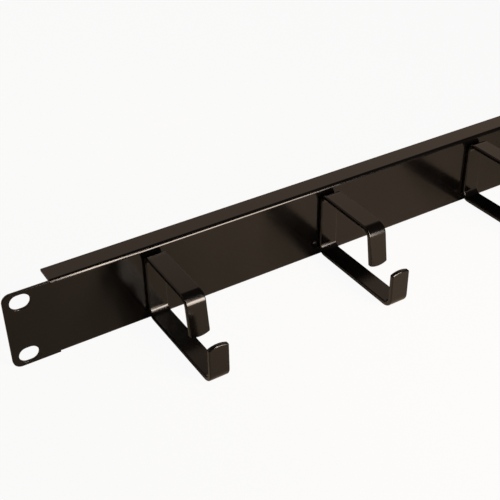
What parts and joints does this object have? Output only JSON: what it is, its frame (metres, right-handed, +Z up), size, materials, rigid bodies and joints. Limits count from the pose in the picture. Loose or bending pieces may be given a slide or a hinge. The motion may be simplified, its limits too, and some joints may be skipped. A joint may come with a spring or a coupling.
{
  "type": "horizontal cable manager",
  "caption": "Rack panel one unit high, folded from steel sheet, with open steel rings across its front that hold patch cables.",
  "frame": {"origin": "centre of the four fixing slots, on the plane where the rear faces of the ears meet the rack's rails", "axes": "+X to the right seen from the front, +Y into the rack, +Z up"},
  "size_m": [0.4826, 0.0777, 0.0436],
  "materials": {
    "panel_enamel": "semi-gloss black enamel on steel sheet",
    "ring_enamel": "semi-gloss black enamel on steel strip"
  },
  "bodies": {
    "root": {"panel": "panel_enamel", "cable_ring_1": "ring_enamel", "cable_ring_2": "ring_enamel", "cable_ring_3": "ring_enamel", "cable_ring_4": "ring_enamel"}
  },
  "joints": []
}
